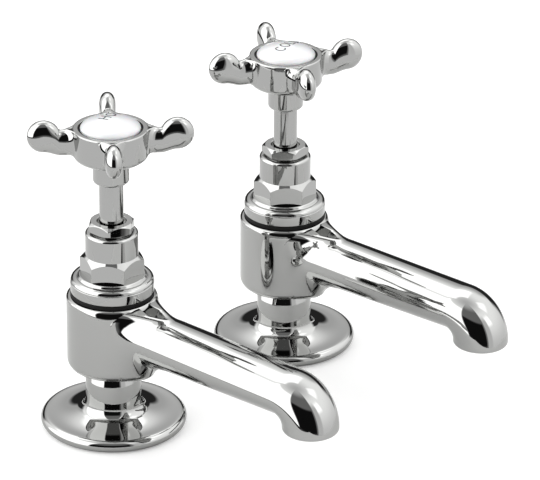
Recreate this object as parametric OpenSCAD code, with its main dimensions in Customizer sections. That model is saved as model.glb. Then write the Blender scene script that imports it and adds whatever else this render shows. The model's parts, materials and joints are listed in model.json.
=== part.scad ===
// A pair of deck-mounted basin pillar taps with crosshead handles, hot and cold.
// Each tap is a cast body with an integral spout, standing on a separate base flange,
// and holds a screw-down valve: turning the crosshead raises the spindle and the jumper.
// Millimetres, +Z up, z = 0 is the deck. The taps stand side by side along X,
// the hot tap at -X, and both spouts point towards -Y.

/* [Pair] */
// Distance between the two tap axes
tap_spacing = 87; // [74:1:220]

/* [Base flange] */
// Outside diameter of the base flange
flange_d = 50; // [46:0.5:60]
// Height of the flange from the deck to the seat of the neck
flange_h = 8.6; // [7.5:0.1:11]
// Height of the rolled rim
rim_h = 4.2; // [3.4:0.1:5]
// Outside diameter of the raised ring round the neck
flange_ring_d = 27.8; // [25.6:0.1:32]
// Diameter of the sealing ring under the flange
deck_seal_d = 41.6; // [30:0.2:42]
// Thickness of the sealing ring under the flange
deck_seal_t = 2.4; // [1.5:0.1:2.8]

/* [Body] */
// Diameter of the body
body_d = 31.4; // [31:0.1:36]
// Height of the body, without the neck
body_h = 26.9; // [25.5:0.1:32]
// Length of the neck between the flange and the body
neck_l = 13.2; // [9:0.1:30]
// Diameter of the neck at its waist
neck_d = 19.1; // [18.4:0.1:20.4]
// Radius of the neck's flare onto the flange
neck_flare_r = 3.4; // [1.5:0.1:5]
// Radius of the body's rounded lower edge
body_corner_r = 3.5; // [1:0.1:3.8]
// Diameter of the raised valve seat's bore
seat_bore_d = 12.7; // [11:0.1:13]
// Diameter of the inlet bore through the tail
inlet_d = 13.6; // [13.2:0.1:14.4]

/* [Tail] */
// Major diameter of the G1/2 tail thread
tail_d = 20.955; // [20.9:0.005:21]
// Length of the tail below the deck
tail_l = 50; // [40:1:60]
// Thickness of the deck that the back nut clamps
deck_t = 14; // [5:1:25]
// Thickness of the washer under the deck
back_washer_t = 3; // [2:0.5:4]
// Width across the flats of the back nut
back_nut_af = 30; // [27:0.5:34]
// Thickness of the back nut
back_nut_t = 7; // [5:0.5:9]

/* [Spout] */
// Distance from the tap's axis to the middle of the outlet
spout_reach = 90.2; // [75:0.2:120]
// Height of the spout at its root
root_h = 18; // [16:0.1:18.4]
// Width of the spout at its root
root_w = 18.4; // [16:0.1:20]
// Height of the spout where it turns down
nose_h = 15; // [13:0.1:16]
// Width of the spout where it turns down
nose_w = 20.4; // [16:0.1:21]
// Outside diameter of the outlet
outlet_d = 18.9; // [17.6:0.1:19]
// Bore of the outlet
outlet_bore_d = 14; // [11:0.1:14.4]
// Rise of the spout's middle line from the body to the turn
spout_rise = 1.4; // [0:0.1:8]
// Radius of the turn at the nose
elbow_r = 9.6; // [9.6:0.1:12]
// Radius of the blend between spout and body
blend_r = 13; // [8:0.5:14]
// Diameter of the waterway in the spout
waterway_d = 9.2; // [7:0.1:9.6]

/* [Bonnet] */
// Diameter of the bonnet's flange and of the black seal under it
bonnet_d = 28.5; // [27:0.1:30.6]
// Thickness of the black seal
bonnet_seal_t = 1.6; // [1.2:0.1:3]
// Height of the flange, from the seal to the foot of the hexagon
bonnet_flange_h = 6.1; // [5.2:0.1:8]
// Diameter of the threaded shank inside the body
shank_d = 24; // [21:0.1:24.4]
// Width across the flats of the bonnet's hexagon
hex_af = 19.2; // [19:0.1:20]
// Height of the bonnet's hexagon
hex_h = 7.3; // [6:0.1:12]
// Diameter of the round barrel above the hexagon
barrel_d = 18; // [17:0.1:19]
// Height of the barrel
barrel_h = 8.3; // [8:0.1:14]

/* [Gland] */
// Width across the flats of the gland nut
gland_af = 14.4; // [14:0.1:16]
// Height of the gland nut's hexagon
gland_h = 3.4; // [3:0.1:6]
// Diameter of the recess round the spindle in the gland nut
gland_mouth_d = 9.8; // [9.2:0.1:10.4]
// Diameter of the packing chamber
packing_d = 13.9; // [12.5:0.1:14]
// Height of the packing
packing_h = 3.6; // [2:0.1:4]
// Thickness of the follower washer on the packing
follower_t = 1; // [0.6:0.1:1.4]

/* [Spindle and valve] */
// Diameter of the spindle's plain stem
stem_d = 8.2; // [7.6:0.1:8.4]
// Length of stem between the gland nut and the handle with the tap shut
stem_show = 14.2; // [8:0.1:30]
// Outside diameter of the spindle's lifting thread
screw_d = 11.2; // [10:0.1:12]
// Lead of the lifting thread
screw_lead = 4; // [3:0.1:5]
// Turns of the handle from shut to fully open
open_turns = 1.25; // [1:0.25:1.5]
// Width across the flats of the square that carries the handle
square_af = 5.6; // [5:0.1:5.8]
// Depth of the valve seat below the top of the body
valve_depth = 18.2; // [17.6:0.1:19]
// Diameter of the tap washer
tap_washer_d = 16; // [14.6:0.1:18]
// Thickness of the tap washer
tap_washer_t = 3.2; // [2.5:0.1:3.4]
// Thickness of the jumper's plate
jumper_t = 2; // [1.5:0.1:2.4]
// Diameter of the jumper's stem
jumper_stem_d = 5; // [4:0.1:5.6]

/* [Crosshead] */
// Tip to tip across two opposite arms
cross_span = 55.8; // [50:0.2:70]
// Diameter of the handle's hub
hub_d = 25.4; // [24.6:0.1:27]
// Height of the hub, from the boss to the rim
hub_h = 12.3; // [12:0.1:18]
// Diameter of the boss under the hub
boss_d = 12.3; // [11.6:0.1:14]
// Height of the boss
boss_h = 7.4; // [4:0.1:12]
// Height of the rounded lobe at an arm's end
lobe_h = 11.2; // [9:0.1:12]
// Thickness of the lobe
lobe_w = 5.8; // [4.6:0.1:7]
// Height of an arm where it is narrowest
arm_neck_h = 7.6; // [6:0.1:9]
// Thickness of an arm where it is narrowest
arm_neck_w = 4.7; // [3.6:0.1:5.6]
// Angle from +X to the first arm of the hot tap's handle
hot_turn = 47; // [0:1:90]
// Angle from +X to the first arm of the cold tap's handle
cold_turn = 60; // [0:1:90]

/* [Index] */
// Diameter of the porcelain index
index_d = 20.5; // [19:0.1:20.8]
// Height of the porcelain's dome
index_dome_h = 2.9; // [1:0.1:4]
// Thickness of the rubber ring round the porcelain
index_ring_t = 0.6; // [0.4:0.05:0.8]
// Depth of the recess for the porcelain
index_recess_h = 4.2; // [3:0.1:5]

/* [Hidden] */
$fn = 72;

// Clearance of a piece that turns or slides in another, on the radius
run_gap = 0.05;
// Clearance of a piece screwed or dropped into another, on the radius
seat_gap = 0.06;
// Overshoot of a cut past the face that it opens
cut = 1;

// Heights of the pieces that stand on one another, from the deck upwards
body_z = flange_h + neck_l;
body_top_z = body_z + body_h;
bonnet_z = body_top_z + bonnet_seal_t;
hex_z = bonnet_z + bonnet_flange_h;
barrel_z = hex_z + hex_h;
barrel_top_z = barrel_z + barrel_h;
gland_gap = 0.5;
gland_z = barrel_top_z + gland_gap;
gland_top_z = gland_z + gland_h;
boss_z = gland_top_z + stem_show;
hub_z = boss_z + boss_h;
rim_z = hub_z + hub_h;

// Heights of the valve, from the seat upwards
seat_z = body_top_z - valve_depth;
plate_z = seat_z + tap_washer_t;
plate_top_z = plate_z + jumper_t;
lift = screw_lead * open_turns;
spindle_z = plate_top_z + 0.1;
shank_z = plate_top_z + lift + 1.3;
screw_z = shank_z + 0.5;
packing_z = barrel_top_z - packing_h - follower_t - 2.4;
screw_top_z = packing_z - 3 - lift;
chamber_z = body_z + 4.2;

// Widths that follow from the pieces that fit together
tail_r = tail_d / 2;
shank_hole_r = shank_d / 2 + seat_gap;
chamber_r = tap_washer_d / 2 + 3.2;
jumper_plate_r = tap_washer_d / 2 + 0.2;
stem_hole_r = stem_d / 2 + run_gap;
index_recess_r = index_d / 2 + index_ring_t;
index_z = rim_z - index_recess_h;
square_z = boss_z + 3.4;
square_top_z = index_z - 3.2;
screw_head_r = 4.2;
screw_head_h = 2.2;
screw_shank_r = 2;

// Angles of the hexagons as they were tightened, to a corner
hot_bonnet_turn = 6;
cold_bonnet_turn = 15;
hot_gland_turn = 36;
cold_gland_turn = 7;

// Points of an arc, by its middle, radius and end angles
function arc(x, y, r, from, to, steps = 8) =
    [for (i = [0:steps]) let (a = from + (to - from) * i / steps) [x + r * cos(a), y + r * sin(a)]];

// Points of an arc of an ellipse, by its middle, half-axes and end angles
function oval_arc(x, y, a, b, from, to, steps = 10) =
    [for (i = [0:steps]) let (t = from + (to - from) * i / steps) [x + a * cos(t), y + b * sin(t)]];

function mix(a, b, t) = a + (b - a) * t;
function clamp01(t) = min(1, max(0, t));
// Even start and stop between 0 and 1
function ease(t) = (1 - cos(180 * clamp01(t))) / 2;

// Faces that join rings of n points, from ring 0 to the last, closed by two middle points
// that follow the rings in the list
function skin(rings, n) = concat(
    [for (k = [0:rings - 2], i = [0:n - 1]) let (j = (i + 1) % n) [k * n + i, (k + 1) * n + i, k * n + j]],
    [for (k = [0:rings - 2], i = [0:n - 1]) let (j = (i + 1) % n)
        [k * n + j, (k + 1) * n + i, (k + 1) * n + j]],
    [for (i = [0:n - 1]) [rings * n, i, (i + 1) % n]],
    [for (i = [0:n - 1]) [rings * n + 1, (rings - 1) * n + (i + 1) % n, (rings - 1) * n + i]]);

module at_hot() translate([-tap_spacing / 2, 0, 0]) children();
module at_cold() translate([tap_spacing / 2, 0, 0]) children();

module ring(outer_r, inner_r, z, h) {
    translate([0, 0, z]) difference() {
        cylinder(r = outer_r, h = h);
        translate([0, 0, -cut]) cylinder(r = inner_r, h = h + 2 * cut);
    }
}

// Hexagon with its upper corners turned off at an angle
module chamfered_hexagon(af, z, h, top_r, drop) {
    corner_r = af / 2 / cos(30);
    intersection() {
        translate([0, 0, z]) cylinder(r = corner_r, h = h, $fn = 6);
        rotate_extrude() polygon([
            [0, z - cut], [corner_r + cut, z - cut],
            [corner_r + cut, z + h - drop * (corner_r + cut - top_r) / (corner_r - top_r)],
            [top_r, z + h], [0, z + h]]);
    }
}

// Base flange

rim_r = rim_h / 2;
ring_bulge_r = 1.6;

module base_flange() {
    rim_x = flange_d / 2 - rim_r;
    ring_x = flange_ring_d / 2 - ring_bulge_r;
    ring_z = flange_h - ring_bulge_r;
    dish_from = [rim_x - 0.8, rim_h - 0.05];
    dish_to = [flange_ring_d / 2 + 0.3, ring_z - 1.2];
    difference() {
        rotate_extrude() polygon(concat(
            [[tail_r + seat_gap, 0], [rim_x - 0.4, 0]],
            arc(rim_x, rim_r, rim_r, -80, 90, 10),
            [for (i = [0:8]) let (t = i / 8)
                [mix(dish_from.x, dish_to.x, t), mix(dish_from.y, dish_to.y, t) - 0.5 * sin(180 * t)]],
            arc(ring_x, ring_z, ring_bulge_r, -30, 90, 8),
            [[tail_r + seat_gap, flange_h]]));
        translate([0, 0, -cut]) cylinder(d = deck_seal_d + 2 * seat_gap, h = deck_seal_t + cut);
    }
}

module deck_seal() {
    ring(deck_seal_d / 2, tail_r + seat_gap, 0, deck_seal_t);
}

// Tail fixings under the deck

module back_washer() {
    ring(back_nut_af / 2 + 2, tail_r + seat_gap, -deck_t - back_washer_t, back_washer_t);
}

module back_nut() {
    z = -deck_t - back_washer_t - back_nut_t;
    difference() {
        union() {
            translate([0, 0, z]) cylinder(r = back_nut_af / 2 / cos(30), h = back_nut_t, $fn = 6);
            translate([0, 0, z + back_nut_t - 1.5]) cylinder(r = back_nut_af / 2 + 2, h = 1.5);
        }
        translate([0, 0, z - cut]) cylinder(r = tail_r + seat_gap, h = back_nut_t + 2 * cut);
    }
}

// Spout: an oval section carried out from the body, turned down at the nose and
// blended into the round body by arcs that touch both

spout_sides = 32;
spout_root_z = body_top_z - root_h / 2 - 1.5;
spout_nose_z = spout_root_z + spout_rise;
spout_nose_y = spout_reach - elbow_r;
spout_taper_y = body_d / 2 + 1.3;
outlet_edge_r = 1;
outlet_z = spout_nose_z - elbow_r - outlet_edge_r;
// The blend's foot lies this much inside the body's surface, so that the two solids cut cleanly
blend_bite = 0.06;
blend_steps = 7;
// The blend would rise above the body and hang below it, so it is trimmed just inside the body's faces
blend_top_z = body_top_z - 0.05;
blend_foot_z = body_z + 0.05;

function spout_share(y) = clamp01((y - spout_taper_y) / (spout_nose_y - spout_taper_y));
function spout_point(y, t) = let (s = spout_share(y)) [
    mix(root_w, nose_w, s) / 2 * cos(t), -y,
    mix(spout_root_z, spout_nose_z, s) + mix(root_h, nose_h, s) / 2 * sin(t)];

// Point at share s of the blend's arc, from the body to the spout
function blend_point(t, s) =
    let (
        r = blend_r,
        foot_r = body_d / 2 - blend_bite,
        out = [cos(t) / root_w, 0, sin(t) / root_h],
        n = out / norm(out),
        on_spout = spout_point(spout_taper_y, t),
        x = on_spout.x + r * n.x,
        y = -sqrt(pow(foot_r + r, 2) - x * x),
        centre = [x, y, on_spout.z + r * n.z],
        m = [x, y, 0] / (foot_r + r),
        turn = acos(n * m),
        v = -(sin(s * turn) * n + sin((1 - s) * turn) * m) / sin(turn))
    centre + r * v;

// Ring of the nose at turn angle b, drawn in by the given amount at the outlet's edge
function nose_ring(b, draw_in, drop) =
    let (
        s = ease(b / 90),
        a = mix(nose_w, outlet_d, s) / 2 - draw_in,
        h = mix(nose_h, outlet_d, s) / 2 - draw_in,
        y = spout_nose_y + elbow_r * sin(b),
        z = spout_nose_z - elbow_r * (1 - cos(b)) - drop)
    [for (i = [0:spout_sides - 1]) let (t = 360 * i / spout_sides)
        [a * cos(t), -y - h * sin(t) * sin(b), z + h * sin(t) * cos(b)]];

module spout_solid() {
    angles = [for (i = [0:spout_sides - 1]) 360 * i / spout_sides];
    rings = concat(
        [for (k = [0:blend_steps]) [for (t = angles) blend_point(t, k / blend_steps)]],
        [for (b = [0:10:90]) nose_ring(b, 0, 0)],
        [for (e = [30:30:90]) nose_ring(90, outlet_edge_r * (1 - cos(e)), outlet_edge_r * sin(e))]);
    difference() {
        polyhedron(
            points = concat([for (loop = rings) each loop],
                [[0, -body_d / 5, spout_root_z], [0, -spout_reach, outlet_z]]),
            faces = skin(len(rings), spout_sides));
        translate([0, 0, blend_top_z]) cylinder(r = body_d, h = blend_r + 4);
        translate([0, 0, blend_foot_z - blend_r]) cylinder(r = body_d, h = blend_r);
    }
}

// Waterway: drilled along the spout from the valve chamber, with a wider outlet from below
module spout_waterway() {
    from = [0, -chamber_r * 0.7, spout_root_z - 2.7];
    to = [0, -spout_reach + 2.2, spout_nose_z - 0.4];
    along = to - from;
    translate(from) rotate([acos(along.z / norm(along)), 0, 0]) cylinder(d = waterway_d, h = norm(along));
    translate(to) sphere(d = waterway_d + 0.4);
    translate([to.x, to.y, outlet_z]) cylinder(d = waterway_d, h = to.z - outlet_z);
    translate([0, -spout_reach, outlet_z - cut]) cylinder(d = outlet_bore_d, h = cut + 4);
}

// Body casting: tail, neck, body and spout in one piece

module body_casting() {
    neck_r = neck_d / 2;
    flare_x = neck_r + neck_flare_r;
    relief_r = tail_r - 0.65;
    difference() {
        union() {
            rotate_extrude() polygon(concat(
                [[0, -tail_l], [tail_r - 1, -tail_l], [tail_r, -tail_l + 1], [tail_r, -2],
                    [relief_r, -2], [relief_r, flange_h]],
                [[tail_r + 0.9, flange_h]],
                arc(flare_x, flange_h + neck_flare_r + 0.3, neck_flare_r, 235, 180, 8),
                [[neck_r, body_z], [body_d / 2 - body_corner_r, body_z]],
                arc(body_d / 2 - body_corner_r, body_z + body_corner_r, body_corner_r, -75, 0, 6),
                arc(body_d / 2 - 0.5, body_top_z - 0.5, 0.5, 0, 90, 4),
                [[0, body_top_z]]));
            spout_solid();
        }
        translate([0, 0, shank_z - 0.5])
            cylinder(r = shank_hole_r, h = body_top_z - shank_z + 0.5 + cut);
        difference() {
            translate([0, 0, chamber_z]) cylinder(r = chamber_r, h = shank_z - chamber_z);
            translate([0, 0, chamber_z - cut]) cylinder(d = seat_bore_d + 2.6, h = seat_z - chamber_z + cut);
        }
        translate([0, 0, body_z]) cylinder(d = seat_bore_d, h = shank_z - body_z);
        translate([0, 0, -tail_l - cut]) cylinder(d = inlet_d, h = tail_l + body_z - 1 + cut);
        translate([0, 0, body_z - cut]) cylinder(d = seat_bore_d, h = 2 * cut);
        spout_waterway();
    }
}

// Bonnet: threaded shank, round flange, hexagon and barrel in one turned piece

module bonnet() {
    r = bonnet_d / 2;
    band_z = bonnet_z + 3.3;
    shoulder_r = 1.6;
    difference() {
        union() {
            rotate_extrude() polygon(concat(
                [[0, shank_z], [shank_d / 2 - 0.8, shank_z], [shank_d / 2, shank_z + 0.8],
                    [shank_d / 2, bonnet_z], [r, bonnet_z]],
                arc(r - shoulder_r, band_z, shoulder_r, 0, 80, 6),
                arc(r - 2.1, hex_z, 1.0, -60, -180, 6),
                [[0, hex_z]]));
            chamfered_hexagon(hex_af, hex_z - 0.2, hex_h + 0.2, barrel_d / 2, 1.9);
            rotate_extrude() polygon(concat(
                [[0, barrel_z - cut], [barrel_d / 2, barrel_z - cut]],
                arc(barrel_d / 2 - 0.9, barrel_top_z - 0.9, 0.9, 0, 90, 5),
                [[0, barrel_top_z]]));
        }
        translate([0, 0, shank_z - cut]) cylinder(d = screw_d + 2 * run_gap, h = packing_z - 2 - shank_z + cut);
        translate([0, 0, shank_z]) cylinder(r = stem_hole_r, h = barrel_top_z - shank_z);
        translate([0, 0, packing_z]) cylinder(d = packing_d, h = barrel_top_z - packing_z + cut);
    }
}

module bonnet_seal() {
    ring(bonnet_d / 2 + 0.05, shank_hole_r + 0.05, body_top_z, bonnet_seal_t);
}

module gland_packing() {
    ring(packing_d / 2 - seat_gap, stem_hole_r, packing_z, packing_h);
}

module gland_follower() {
    ring(packing_d / 2 - seat_gap, stem_hole_r, packing_z + packing_h, follower_t);
}

module gland_nut() {
    foot_z = packing_z + packing_h + follower_t;
    difference() {
        union() {
            translate([0, 0, foot_z]) cylinder(d = packing_d - 2 * seat_gap, h = gland_z - foot_z + 0.2);
            chamfered_hexagon(gland_af, gland_z, gland_h, gland_af / 2 - 0.1, 1.1);
        }
        translate([0, 0, foot_z - cut]) cylinder(r = stem_hole_r, h = gland_top_z - foot_z + 2 * cut);
        translate([0, 0, gland_top_z - 2.2]) cylinder(d = gland_mouth_d, h = 2.2 + cut);
    }
}

// Spindle: socket for the jumper, lifting thread, plain stem and the square for the handle

module spindle() {
    r = stem_d / 2;
    difference() {
        union() {
            rotate_extrude() polygon([
                [0, spindle_z], [screw_d / 2 - 1, spindle_z], [screw_d / 2 - 0.6, spindle_z + 0.4],
                [screw_d / 2 - 0.6, screw_z - 0.6], [screw_d / 2, screw_z],
                [screw_d / 2, screw_top_z - 0.6], [screw_d / 2 - 0.6, screw_top_z], [r, screw_top_z],
                [r, square_z], [0, square_z]]);
            intersection() {
                translate([0, 0, square_z - cut])
                    rotate(45) cylinder(r = square_af / sqrt(2), h = square_top_z - square_z + cut, $fn = 4);
                translate([0, 0, square_z - cut]) cylinder(r = r - 0.3, h = square_top_z - square_z + cut);
            }
        }
        translate([0, 0, spindle_z - cut])
            cylinder(r = jumper_stem_d / 2 + run_gap, h = 8.4 + cut);
        translate([0, 0, square_top_z - 9]) cylinder(r = screw_shank_r + run_gap, h = 9 + cut);
    }
}

module jumper() {
    difference() {
        union() {
            translate([0, 0, plate_z]) cylinder(r = jumper_plate_r, h = jumper_t);
            translate([0, 0, plate_top_z - 0.2]) cylinder(d = jumper_stem_d, h = 7.7);
            translate([0, 0, seat_z - 3]) cylinder(d = 3, h = plate_z - seat_z + 3.2);
        }
        // Sides of the jumper's stem filed flat so that water does not lock it in its socket
        for (side = [-1, 1])
            translate([side * (jumper_stem_d / 2 + 1.6), 0, plate_top_z + 4])
                cube([4, jumper_stem_d * 2, 8], center = true);
    }
}

module tap_washer() {
    ring(tap_washer_d / 2, 1.5 + seat_gap, seat_z, tap_washer_t);
}

module washer_nut() {
    difference() {
        translate([0, 0, seat_z - 2.4]) cylinder(r = 4, h = 2.4, $fn = 6);
        translate([0, 0, seat_z - 2.4 - cut]) cylinder(r = 1.5 + seat_gap, h = 2.4 + 2 * cut);
    }
}

// Crosshead: hub, boss and four arms that swell into upright rounded lobes

arm_sides = 16;
lobe_r = lobe_h / 2;
lobe_x = cross_span / 2 - lobe_r;
lobe_z = rim_z - 2.6;
neck_x = lobe_x - 6;
arm_root_x = hub_d / 2 - 1.2;
arm_neck_z = rim_z - 5.6;

// Sections are ovals with nearly flat sides, |y / w| ^ 2 + |z / h| ^ 3 = 1
function flat_sin(t) = sign(sin(t)) * pow(abs(sin(t)), 2 / 3);

// Heights of an arm's top and bottom edges at distance x from the axis
function lobe_half_h(x) = sqrt(max(0, lobe_r * lobe_r - pow(x - lobe_x, 2)));
function arm_top(x) = x > lobe_x ? lobe_z + lobe_half_h(x)
    : max(arm_neck_z + arm_neck_h / 2, lobe_z + lobe_half_h(x));
function arm_bottom(x) = x > lobe_x ? lobe_z - lobe_half_h(x)
    : mix(arm_neck_z - arm_neck_h / 2, lobe_z - lobe_r, ease((x - neck_x) / (lobe_x - neck_x)));
// Half-thickness at angle t of a section: a web at the hub, narrowest at the neck, full in the lobe.
// Past the lobe's middle it depends on the distance from that middle, so that the tip is a rounded disc
function arm_half_w(x) = mix(arm_neck_w / 2, lobe_w / 2, ease((x - neck_x) / (lobe_x - neck_x)))
    + 2.6 * (1 - sin(90 * clamp01((x - arm_root_x) / (neck_x - arm_root_x))));
function lobe_y(x, t) = let (s = pow((x - lobe_x) / lobe_r, 2), d = s + (1 - s) * pow(flat_sin(t), 2))
    sign(cos(t)) * lobe_w / 2 * sqrt(max(0, 1 - pow(d, 1.5)));

module arm() {
    stations = concat(
        [for (i = [0:4]) mix(arm_root_x, neck_x, i / 4)],
        [for (i = [1:7]) mix(neck_x, lobe_x, i / 7)],
        [for (b = [18:18:72]) lobe_x + lobe_r * sin(b)],
        [lobe_x + lobe_r * sin(84)]);
    polyhedron(
        points = concat(
            [for (x = stations) let (top = arm_top(x), low = arm_bottom(x))
                for (i = [0:arm_sides - 1]) let (t = 360 * i / arm_sides)
                    [x, x > lobe_x ? lobe_y(x, t) : arm_half_w(x) * cos(t),
                        (top + low) / 2 + (top - low) / 2 * flat_sin(t)]],
            [[arm_root_x, 0, arm_neck_z], [cross_span / 2, 0, lobe_z]]),
        faces = skin(len(stations), arm_sides));
}

module crosshead() {
    hub_r = hub_d / 2;
    boss_r = boss_d / 2;
    bowl_z = hub_z + 3.3;
    difference() {
        union() {
            rotate_extrude() polygon(concat(
                [[0, boss_z]],
                arc(boss_r - 1.2, boss_z + 1.2, 1.2, -90, 0, 5),
                [[boss_r, hub_z - 0.2]],
                oval_arc(hub_r - 8.5, bowl_z, 8.5, 3.3, -74, 0, 10),
                arc(hub_r - 0.4, rim_z - 0.4, 0.4, 0, 90, 3),
                [[0, rim_z]]));
            for (k = [0:3]) rotate(90 * k) arm();
        }
        translate([0, 0, index_z]) cylinder(r = index_recess_r + 0.04, h = index_recess_h + cut);
        translate([0, 0, boss_z - cut]) cylinder(r = stem_d / 2 + seat_gap, h = square_z - boss_z + 0.1 + cut);
        translate([0, 0, square_z])
            rotate(45) cylinder(r = (square_af + 2 * seat_gap) / sqrt(2), h = index_z - square_z + cut, $fn = 4);
        translate([0, 0, square_top_z + 0.4]) cylinder(r = screw_head_r + 0.3, h = index_z - square_top_z + cut);
    }
}

module handle_screw() {
    head_z = square_top_z + 0.4;
    difference() {
        union() {
            translate([0, 0, head_z]) cylinder(r = screw_head_r, h = screw_head_h);
            translate([0, 0, square_top_z - 8]) cylinder(r = screw_shank_r, h = 8.6);
        }
        translate([0, 0, head_z + screw_head_h - 0.5])
            cube([0.9, 2 * screw_head_r + 1, 1.2], center = true);
    }
}

module index_ring() {
    ring(index_recess_r, index_d / 2, index_z, index_recess_h - 0.35);
}

module index() {
    r = index_d / 2;
    rotate_extrude() polygon(concat(
        [[0, index_z], [r - 0.04, index_z], [r - 0.04, rim_z - 0.2]],
        oval_arc(0, rim_z - 0.1, r - 0.04, index_dome_h + 0.1, 4, 90, 12)));
}

// Nodes of the hot tap

module hot_body() color("silver") at_hot() body_casting();
module hot_base_flange() color("silver") at_hot() base_flange();
module hot_deck_seal() color("dimgray") at_hot() deck_seal();
module hot_back_washer() color("whitesmoke") at_hot() back_washer();
module hot_back_nut() color("goldenrod") at_hot() back_nut();
module hot_bonnet_seal() color("black") at_hot() bonnet_seal();
module hot_bonnet() color("silver") at_hot() rotate(hot_bonnet_turn) bonnet();
module hot_gland_packing() color("dimgray") at_hot() gland_packing();
module hot_gland_follower() color("goldenrod") at_hot() gland_follower();
module hot_gland_nut() color("silver") at_hot() rotate(hot_gland_turn) gland_nut();
module hot_spindle() color("silver") at_hot() rotate(hot_turn) spindle();
module hot_jumper() color("goldenrod") at_hot() jumper();
module hot_tap_washer() color("dimgray") at_hot() tap_washer();
module hot_washer_nut() color("goldenrod") at_hot() washer_nut();
module hot_crosshead() color("silver") at_hot() rotate(hot_turn) crosshead();
module hot_handle_screw() color("silver") at_hot() rotate(hot_turn) handle_screw();
module hot_index_ring() color("black") at_hot() index_ring();
module hot_index() color("white") at_hot() index();

// Nodes of the cold tap

module cold_body() color("silver") at_cold() body_casting();
module cold_base_flange() color("silver") at_cold() base_flange();
module cold_deck_seal() color("dimgray") at_cold() deck_seal();
module cold_back_washer() color("whitesmoke") at_cold() back_washer();
module cold_back_nut() color("goldenrod") at_cold() back_nut();
module cold_bonnet_seal() color("black") at_cold() bonnet_seal();
module cold_bonnet() color("silver") at_cold() rotate(cold_bonnet_turn) bonnet();
module cold_gland_packing() color("dimgray") at_cold() gland_packing();
module cold_gland_follower() color("goldenrod") at_cold() gland_follower();
module cold_gland_nut() color("silver") at_cold() rotate(cold_gland_turn) gland_nut();
module cold_spindle() color("silver") at_cold() rotate(cold_turn) spindle();
module cold_jumper() color("goldenrod") at_cold() jumper();
module cold_tap_washer() color("dimgray") at_cold() tap_washer();
module cold_washer_nut() color("goldenrod") at_cold() washer_nut();
module cold_crosshead() color("silver") at_cold() rotate(cold_turn) crosshead();
module cold_handle_screw() color("silver") at_cold() rotate(cold_turn) handle_screw();
module cold_index_ring() color("black") at_cold() index_ring();
module cold_index() color("white") at_cold() index();

hot_body();
hot_base_flange();
hot_deck_seal();
hot_back_washer();
hot_back_nut();
hot_bonnet_seal();
hot_bonnet();
hot_gland_packing();
hot_gland_follower();
hot_gland_nut();
hot_spindle();
hot_jumper();
hot_tap_washer();
hot_washer_nut();
hot_crosshead();
hot_handle_screw();
hot_index_ring();
hot_index();
cold_body();
cold_base_flange();
cold_deck_seal();
cold_back_washer();
cold_back_nut();
cold_bonnet_seal();
cold_bonnet();
cold_gland_packing();
cold_gland_follower();
cold_gland_nut();
cold_spindle();
cold_jumper();
cold_tap_washer();
cold_washer_nut();
cold_crosshead();
cold_handle_screw();
cold_index_ring();
cold_index();
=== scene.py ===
"""Fine surfaces, finishes and studio for a hot and a cold basin pillar tap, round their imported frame.

Shapes are worked out in millimetres, for a tap that stands on the origin with its spout along -Y, and
become metres, at the tap's own place, when they are put into a mesh.
"""

import json
import math
from types import SimpleNamespace

import bmesh
import bpy
import numpy as np
from bpy.props import FloatProperty, FloatVectorProperty, PointerProperty
from mathutils import Matrix, Vector


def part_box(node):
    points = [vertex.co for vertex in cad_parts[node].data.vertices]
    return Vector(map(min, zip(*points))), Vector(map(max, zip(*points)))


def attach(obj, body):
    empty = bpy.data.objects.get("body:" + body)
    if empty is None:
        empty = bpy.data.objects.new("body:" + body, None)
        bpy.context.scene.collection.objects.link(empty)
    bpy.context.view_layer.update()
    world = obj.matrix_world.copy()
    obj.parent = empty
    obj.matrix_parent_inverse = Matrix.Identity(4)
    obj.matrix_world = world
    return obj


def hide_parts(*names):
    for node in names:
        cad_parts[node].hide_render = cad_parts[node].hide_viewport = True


bl_info = {
    "name": "Basin Pillar Taps",
    "version": (1, 0, 0),
    "blender": (4, 5, 0),
    "location": "3D View > Sidebar > Taps",
    "description": "Chromed basin taps with crosshead handles, built on a packed frame",
    "category": "Add Mesh",
}

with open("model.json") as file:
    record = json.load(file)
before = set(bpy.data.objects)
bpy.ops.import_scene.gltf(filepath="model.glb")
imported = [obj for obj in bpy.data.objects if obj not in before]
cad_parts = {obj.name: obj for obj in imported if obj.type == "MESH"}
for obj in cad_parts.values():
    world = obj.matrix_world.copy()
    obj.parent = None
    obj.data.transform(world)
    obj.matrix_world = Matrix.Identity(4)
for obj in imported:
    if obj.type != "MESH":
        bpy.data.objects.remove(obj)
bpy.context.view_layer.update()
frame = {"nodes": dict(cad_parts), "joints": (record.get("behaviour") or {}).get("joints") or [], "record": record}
MM = 0.001
SIDES = ("hot", "cold")
COLUMNS = 192


# Sizes read from the frame

def low(node):
    """Lowest corner of a node, in millimetres."""
    return np.array(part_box(node)[0]) / MM


def high(node):
    """Highest corner of a node, in millimetres."""
    return np.array(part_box(node)[1]) / MM


def tap_x(side):
    """Place of a tap's axis along X, in millimetres, from its handle's joint."""
    joint = next(j for j in frame["joints"] if j["name"] == side + "_turn")
    return joint["pos_m"][0] / MM


def radius(node):
    """Largest radius of a turned node, in millimetres."""
    return (high(node)[1] - low(node)[1]) / 2


def size(name, millimetres, description):
    """A length that the user can change."""
    return FloatProperty(name=name, default=millimetres * MM, description=description, unit="LENGTH",
                         precision=5)


def angle(name, degrees, description):
    """An angle that the user can change."""
    return FloatProperty(name=name, default=math.radians(degrees), description=description, subtype="ANGLE")


def color(name, rgb, description):
    """A colour that the user can change."""
    return FloatVectorProperty(name=name, default=rgb, description=description, subtype="COLOR", min=0, max=1)


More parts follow.
